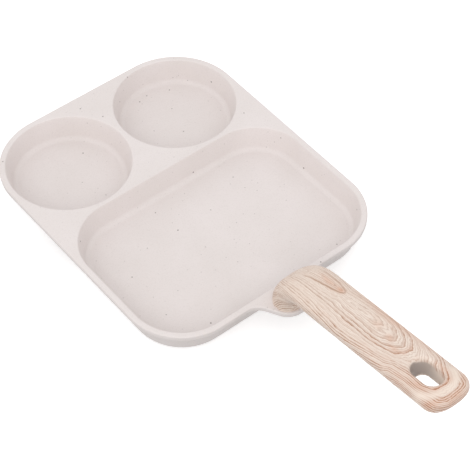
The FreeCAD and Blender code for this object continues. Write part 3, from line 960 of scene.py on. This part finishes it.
def set_inputs(tree, node, inputs):
    """Gives a node's inputs numbers, colours or other nodes' outputs."""
    for label, value in inputs.items():
        socket = node.inputs[label]
        if isinstance(value, bpy.types.NodeSocket):
            tree.links.new(value, socket)
        else:
            socket.default_value = value


def add(tree, kind, inputs=None, **settings):
    """A new shader node of a kind, with its settings and inputs."""
    node = tree.nodes.new("ShaderNode" + kind)
    for label, value in settings.items():
        setattr(node, label, value)
    set_inputs(tree, node, inputs or {})
    return node


def maths(tree, operation, *values, clamp=False):
    """The result of a sum on numbers or other nodes' outputs."""
    inputs = dict(enumerate(values))
    return add(tree, "Math", inputs, operation=operation, use_clamp=clamp).outputs[0]


def separated(tree, vector):
    """A vector's three parts, X, Y and Z."""
    return add(tree, "SeparateXYZ", {"Vector": vector}).outputs


def noise(tree, place, scale, detail, roughness=0.5, stretch=None, output="Fac"):
    """Soft noise at a place, which may be stretched by its own amount each way."""
    if stretch:
        place = add(tree, "Mapping", {"Vector": place, "Scale": stretch}).outputs["Vector"]
    inputs = {"Vector": place, "Scale": scale, "Detail": detail, "Roughness": roughness}
    return add(tree, "TexNoise", inputs).outputs[output]


def mesh_value(tree, name, output="Vector"):
    """A value that a mesh keeps for each of its points."""
    return add(tree, "Attribute", attribute_name=name).outputs[output]


def map_share(tree, value, low, high):
    """0 up to low, 1 from high on and evenly between."""
    inputs = {"Value": value, "From Min": low, "From Max": high}
    return add(tree, "MapRange", inputs).outputs[0]


def colour_mix(tree, share, first, second, blend="MIX"):
    """A colour between two, or blended from them, by a share."""
    inputs = {0: share, 6: first, 7: second}
    return add(tree, "Mix", inputs, data_type="RGBA", blend_type=blend).outputs[2]


def ramp(tree, value, stops):
    """A grey value curve: each stop is a place from 0 to 1 and its brightness."""
    node = add(tree, "ValToRGB", {"Fac": value})
    elements = node.color_ramp.elements
    while len(elements) < len(stops):
        elements.new(0.5)
    for element, (place, level) in zip(elements, stops):
        element.position = place
        element.color = (level, level, level, 1.0)
    return node.outputs["Color"]


def linear(red, green, blue):
    """A colour of a screen, 0 to 255, as linear light."""
    screen = np.array([red, green, blue]) / 255
    light = np.where(screen <= 0.04045, screen / 12.92, ((screen + 0.055) / 1.055) ** 2.4)
    return (*light.tolist(), 1.0)


def finish_surface(tree, surface, tone, roughness, height, strength, distance, invert=False):
    """Colour, gloss and fine relief of a coated or printed surface."""
    inputs = {"Height": height, "Strength": strength, "Distance": distance}
    bump = add(tree, "Bump", inputs, invert=invert).outputs["Normal"]
    set_inputs(tree, surface, {
        "Base Color": tone, "Roughness": roughness, "Specular IOR Level": 0.35, "Normal": bump,
    })


def stone_coating():
    """Matt off-white coating with sparse dark flecks, many faint ones and fine grain."""
    material, tree, surface = shader("stone_coating")
    place = add(tree, "TexCoord").outputs["Object"]
    cloud = noise(tree, place, scale=22.0, detail=4.0, roughness=0.6)
    cloudy = ramp(tree, cloud, [(0.3, 0.0), (0.7, 1.0)])
    tone = colour_mix(tree, cloudy, linear(223, 215, 212), linear(228, 220, 218))
    speck = noise(tree, place, scale=1100.0, detail=3.0, roughness=0.7)
    grainy = ramp(tree, speck, [(0.35, 0.16), (0.5, 0.0)])
    tone = colour_mix(tree, grainy, tone, linear(196, 184, 180))

    # flecks: spots in some of the cells of a random pattern, with ragged edges
    ragged = noise(tree, place, scale=2400.0, detail=2.0, output="Color")
    shift = add(tree, "VectorMath", {0: ragged, "Scale": 0.0006}, operation="SCALE").outputs[0]
    torn = add(tree, "VectorMath", {0: place, 1: shift}, operation="ADD").outputs[0]
    for cell, radius, share, strength in FLECKS:
        cells = add(tree, "TexVoronoi", {"Vector": torn, "Scale": 1000.0 / cell}).outputs
        reach = radius / cell
        spot = ramp(tree, cells["Distance"], [(0.0, 1.0), (reach * 0.6, 1.0), (reach, 0.0)])
        pick = add(tree, "SeparateColor", {"Color": cells["Color"]}).outputs["Red"]
        chosen = ramp(tree, pick, [(1 - share, 0.0), (1.001 - share, strength * 0.5), (1.0, strength)])
        tone = colour_mix(tree, maths(tree, "MULTIPLY", spot, chosen), tone, linear(112, 100, 96))
    grain = noise(tree, place, scale=1500.0, detail=2.0)
    finish_surface(tree, surface, tone, 0.5, grain, strength=0.12, distance=0.00015)
    return material


def wood_print():
    """Satin wood-grain print: growth rings, fine fibre streaks and pinkish patches, with
    painted shade as stronger lines at the grip's edges and on the foot.

    Its lines are greyer near the bend. The bare plastic is greyer at the slot's near end
    and pale at its far one. Places are in centimetres.
    """
    material, tree, surface = shader("wood_grain_print")
    rings = mesh_value(tree, "grain_rings", "Fac")
    place = mesh_value(tree, "grain_place")
    tint = separated(tree, mesh_value(tree, "grain_tint_and_shade"))
    strength, pinkness, bare = tint["X"], tint["Y"], tint["Z"]

    # rings, wandering a little sideways and jagged where they turn
    wobble = noise(tree, place, scale=1.0, detail=2.0, stretch=(0.5, 1.6, 1.6))
    wobble = maths(tree, "SUBTRACT", wobble, 0.5)
    jag = noise(tree, place, scale=1.0, detail=3.0, roughness=0.6, stretch=(2.0, 5.0, 5.0))
    jag = maths(tree, "SUBTRACT", jag, 0.5)
    shifted = maths(tree, "MULTIPLY_ADD", wobble, RING_WANDER, rings)
    shifted = maths(tree, "MULTIPLY_ADD", jag, RING_JAG, shifted)
    turn = maths(tree, "FRACT", shifted)
    line = ramp(tree, turn, [(0.0, 0.0), (0.45, 0.1), (0.78, 0.6), (0.9, 1.0), (0.96, 0.9), (1.0, 0.0)])
    whole = maths(tree, "ADD", maths(tree, "FLOOR", shifted), RING_SEED)
    chance = add(tree, "TexWhiteNoise", {"W": whole}, noise_dimensions="1D").outputs["Value"]
    weight = ramp(tree, chance, [(0.0, 0.15), (0.3, 0.3), (0.65, 0.8), (1.0, 1.0)])
    worn = noise(tree, place, scale=1.3, detail=3.0, roughness=0.6, stretch=(1.1, 4.0, 4.0))
    worn = ramp(tree, worn, [(0.35, 0.45), (0.6, 1.0)])
    # strength and pinkness also carry painted shade: stronger lines at the grip's edges and on the foot,
    # and a darker far edge
    for share in (weight, strength, worn):
        line = maths(tree, "MULTIPLY", line, share)

    # finer lines between the rings, fibres and pinkish patches
    finer = maths(tree, "FRACT", maths(tree, "MULTIPLY", shifted, FINE_LINES))
    fine = ramp(tree, finer, [(0.0, 0.0), (0.5, 0.1), (0.85, 1.0), (1.0, 0.0)])
    fibre = noise(tree, place, scale=1.6, detail=4.0, roughness=0.65, stretch=(1.4, 22.0, 22.0))
    streak = ramp(tree, fibre, [(0.4, 0.0), (0.62, 1.0)])
    patch = noise(tree, place, scale=2.2, detail=3.0, roughness=0.6, stretch=(0.5, 1.6, 1.6))
    patchy = ramp(tree, patch, [(0.5, 0.0), (0.72, 0.22)])
    pink = maths(tree, "ADD", pinkness, patchy, clamp=True)
    tone = colour_mix(tree, pink, linear(240, 227, 216), linear(224, 180, 156))
    fibres = maths(tree, "MULTIPLY", streak, FIBRE_STRENGTH)
    tone = colour_mix(tree, fibres, tone, linear(208, 184, 167))
    fine = maths(tree, "MULTIPLY", fine, FINE_STRENGTH)
    tone = colour_mix(tree, fine, tone, linear(184, 152, 133))

    # the flame's dark rim, as jagged as the rings
    flame_line = separated(tree, mesh_value(tree, "grain_flame"))
    away = maths(tree, "ABSOLUTE", maths(tree, "MULTIPLY_ADD", jag, FLAME_JAG, flame_line["X"]))
    rim = ramp(tree, away, [(0.0, 1.0), (0.4, 0.8), (1.0, 0.0)])
    line = maths(tree, "MAXIMUM", line, maths(tree, "MULTIPLY", rim, flame_line["Y"]))

    along = separated(tree, place)["X"]
    past_bend, past_slot = map_share(tree, along, 6.0, 14.0), map_share(tree, along, 13.5, 15.9)
    line_tone = colour_mix(tree, past_bend, linear(165, 124, 96), linear(170, 114, 80))
    plain = colour_mix(tree, past_slot, linear(153, 143, 139), linear(240, 224, 210))
    tone = colour_mix(tree, line, tone, line_tone)
    tone = colour_mix(tree, bare, tone, plain)
    relief = maths(tree, "ADD", line, streak)
    finish_surface(tree, surface, tone, 0.42, relief, strength=0.06, distance=0.0002, invert=True)
    return material


def metal(name, tone, roughness):
    """Plain metal with faint uneven polish."""
    material, tree, surface = shader(name)
    place = add(tree, "TexCoord").outputs["Object"]
    shade = ramp(tree, noise(tree, place, scale=900.0, detail=3.0), [(0.3, 0.0), (0.7, 1.0)])
    darker = (*(0.8 * part for part in tone[:3]), 1.0)
    uneven = colour_mix(tree, shade, darker, tone)
    set_inputs(tree, surface, {"Base Color": uneven, "Metallic": 1.0, "Roughness": roughness})
    return material


def pale_floor():
    """A plain white floor that the pan stands on."""
    mesh = bpy.data.meshes.new("studio_floor")
    corners = [(x * FLOOR_REACH, y * FLOOR_REACH, 0) for x, y in ((-1, -1), (1, -1), (1, 1), (-1, 1))]
    mesh.from_pydata(corners, [], [(0, 1, 2, 3)])
    floor = added("studio_floor", mesh)
    material, tree, surface = shader("studio_floor")
    set_inputs(tree, surface, {
        "Base Color": (0.92, 0.92, 0.92, 1.0),
        "Emission Color": (1.0, 1.0, 1.0, 1.0),
        "Emission Strength": 0.35,
        "Roughness": 0.9,
        "Specular IOR Level": 0.1,
    })
    mesh.materials.append(material)
    # the floor throws no light back at the pan, as on a glass table
    floor.visible_diffuse = False


def dress(piece, material, slot, *nodes):
    """Gives a new piece its finish and lets it stand for CAD nodes on the part's one body."""
    piece.data.materials.append(material)
    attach(piece, "root")
    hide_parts(*nodes)


def finish_node(name, material):
    """Gives a CAD node that stays its finish."""
    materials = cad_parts[name].data.materials
    materials.clear()
    materials.append(material)


camera_and_light()
pale_floor()
dress(casting(), stone_coating(), "stone_coating", "pan_body")
dress(handle_grip(), wood_print(), "wood_grain", "handle")
steel = metal("zinc_steel", (0.60, 0.60, 0.61, 1.0), 0.35)
finish_node("handle_screw", steel)
finish_node("spring_washer", steel)
finish_node("handle_insert", metal("turned_brass", (0.72, 0.55, 0.25, 1.0), 0.3))
